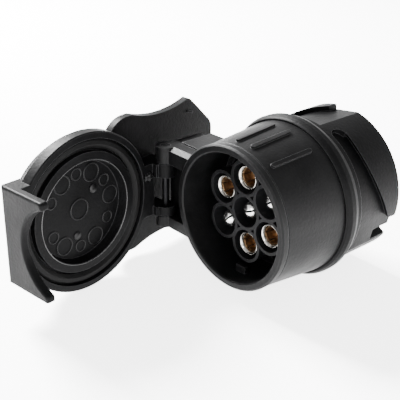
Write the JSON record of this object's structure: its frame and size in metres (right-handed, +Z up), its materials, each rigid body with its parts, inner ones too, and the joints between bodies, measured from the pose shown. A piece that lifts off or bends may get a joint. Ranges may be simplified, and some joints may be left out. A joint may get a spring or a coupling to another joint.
{
  "type": "trailer wiring adapter",
  "caption": "Short plug adapter for trailer wiring: pin plug with a bayonet barrel at one end, flower-block socket with a hinged, lever-opened lid at the other.",
  "frame": {"origin": "centre of the socket mouth, in the plane of its lip", "axes": "+Y from the mouth to the plug end along the common axis; +Z up, parallel to the lid's hinge; hinge on the -X side. At rest the lid is open 84.2 degrees from closed."},
  "size_m": [0.0643, 0.0963, 0.0474],
  "materials": {
    "housing_plastic": "fine moulded grain",
    "shell_plastic": "fine moulded grain",
    "lid_plastic": "fine moulded grain",
    "insulator": "smooth moulded",
    "carrier_plastic": "smooth moulded",
    "seal_rubber": "matt",
    "sleeve_metal": "nickel edge, copper-toned bore",
    "pin_metal": "bright nickel plate",
    "steel": "plain drawn rod"
  },
  "bodies": {
    "housing": {"socket_housing": "housing_plastic", "bayonet_shell": "shell_plastic", "contact_block": "insulator", "hinge_pin": "steel", "carrier_snap_ring": "insulator", "contact_sleeve_1": "sleeve_metal", "contact_sleeve_2": "sleeve_metal", "contact_sleeve_3": "sleeve_metal", "contact_sleeve_4": "sleeve_metal", "split_pin_1": "pin_metal", "split_pin_2": "pin_metal", "split_pin_3": "pin_metal"},
    "lid": {"lid_cover": "lid_plastic", "lid_seal": "seal_rubber"},
    "carrier": {"pin_carrier": "carrier_plastic", "plug_pin_01": "pin_metal", "plug_pin_02": "pin_metal", "plug_pin_03": "pin_metal", "plug_pin_04": "pin_metal", "plug_pin_05": "pin_metal", "plug_pin_06": "pin_metal", "plug_pin_07": "pin_metal", "plug_pin_08": "pin_metal", "plug_pin_09": "pin_metal", "plug_pin_10": "pin_metal", "plug_pin_11": "pin_metal", "plug_pin_12": "pin_metal", "plug_pin_13": "pin_metal"}
  },
  "joints": [
    {"name": "lid_hinge", "type": "hinge", "parent": "housing", "child": "lid", "pos_m": [-0.0284, 0.0019, 0], "axis": [0, 0, 1], "range_deg": [-20, 84.2]},
    {"name": "carrier_turn", "type": "hinge", "parent": "housing", "child": "carrier", "pos_m": [0, 0.0274, 0], "axis": [0, 1, 0], "range_deg": [0, 90]}
  ]
}
